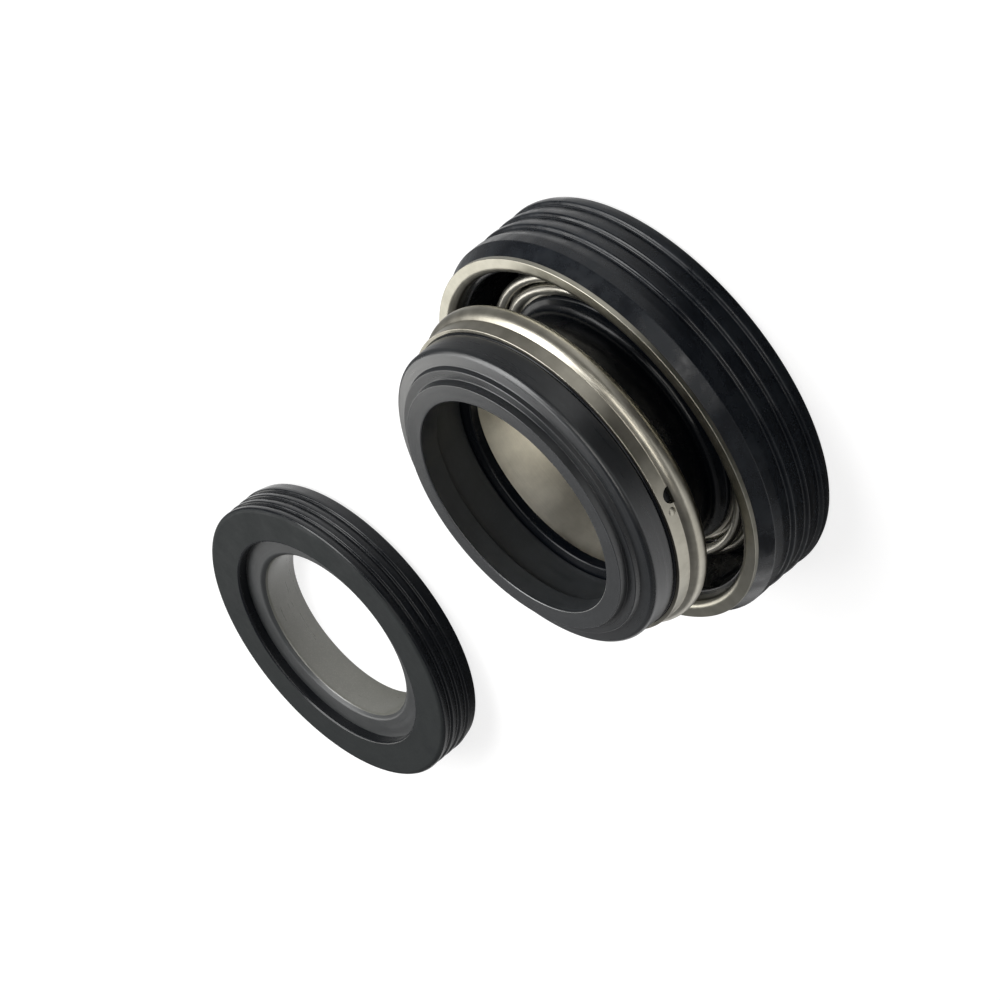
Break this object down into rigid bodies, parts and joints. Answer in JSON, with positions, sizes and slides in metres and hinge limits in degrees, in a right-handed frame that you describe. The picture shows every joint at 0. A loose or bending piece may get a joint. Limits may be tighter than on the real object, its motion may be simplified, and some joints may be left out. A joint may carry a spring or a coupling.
{
  "type": "mechanical shaft seal",
  "caption": "Mechanical shaft seal: a spring-loaded nose ring in a rubber-jacketed steel case with a flared sleeve, and a loose ribbed seat.",
  "frame": {"origin": "centre of the shaft hole in the plane of the case's flat back face, on which the head stands", "axes": "+Z runs along the shaft axis from the case's back to the sealing face of the nose; +Y points at the loose seat"},
  "size_m": [0.052, 0.1492, 0.0262],
  "materials": {
    "case_steel": "satin pressed stainless sheet",
    "jacket_rubber": "moulded, smooth and slightly glossy",
    "spring_steel": "drawn stainless wire",
    "sleeve_steel": "satin pressed stainless sheet",
    "boot_rubber": "moulded, smooth",
    "holder_steel": "bright rolled stainless sheet",
    "ring_carbide": "ground, with a lapped bright face",
    "bellows_rubber": "moulded, matt",
    "clamp_steel": "satin",
    "seat_ceramic": "ground, with a lapped face",
    "seat_rubber": "moulded, matt back and glossy ribs"
  },
  "bodies": {
    "case": {"case_cup": "case_steel", "case_jacket": "jacket_rubber", "coil_spring": "spring_steel", "inner_bellows": "bellows_rubber", "tail_clamp": "clamp_steel", "seat_ring": "seat_ceramic", "seat_boot": "seat_rubber"},
    "nose": {"drive_sleeve": "sleeve_steel", "ring_boot": "boot_rubber", "ring_holder": "holder_steel", "seal_ring": "ring_carbide"}
  },
  "joints": [
    {"name": "nose_slide", "type": "slide", "parent": "case", "child": "nose", "axis": [0, 0, -1], "range_m": [0, 0.0025], "stiffness_N_per_m": 8000, "deforming": ["coil_spring", "inner_bellows"]}
  ]
}
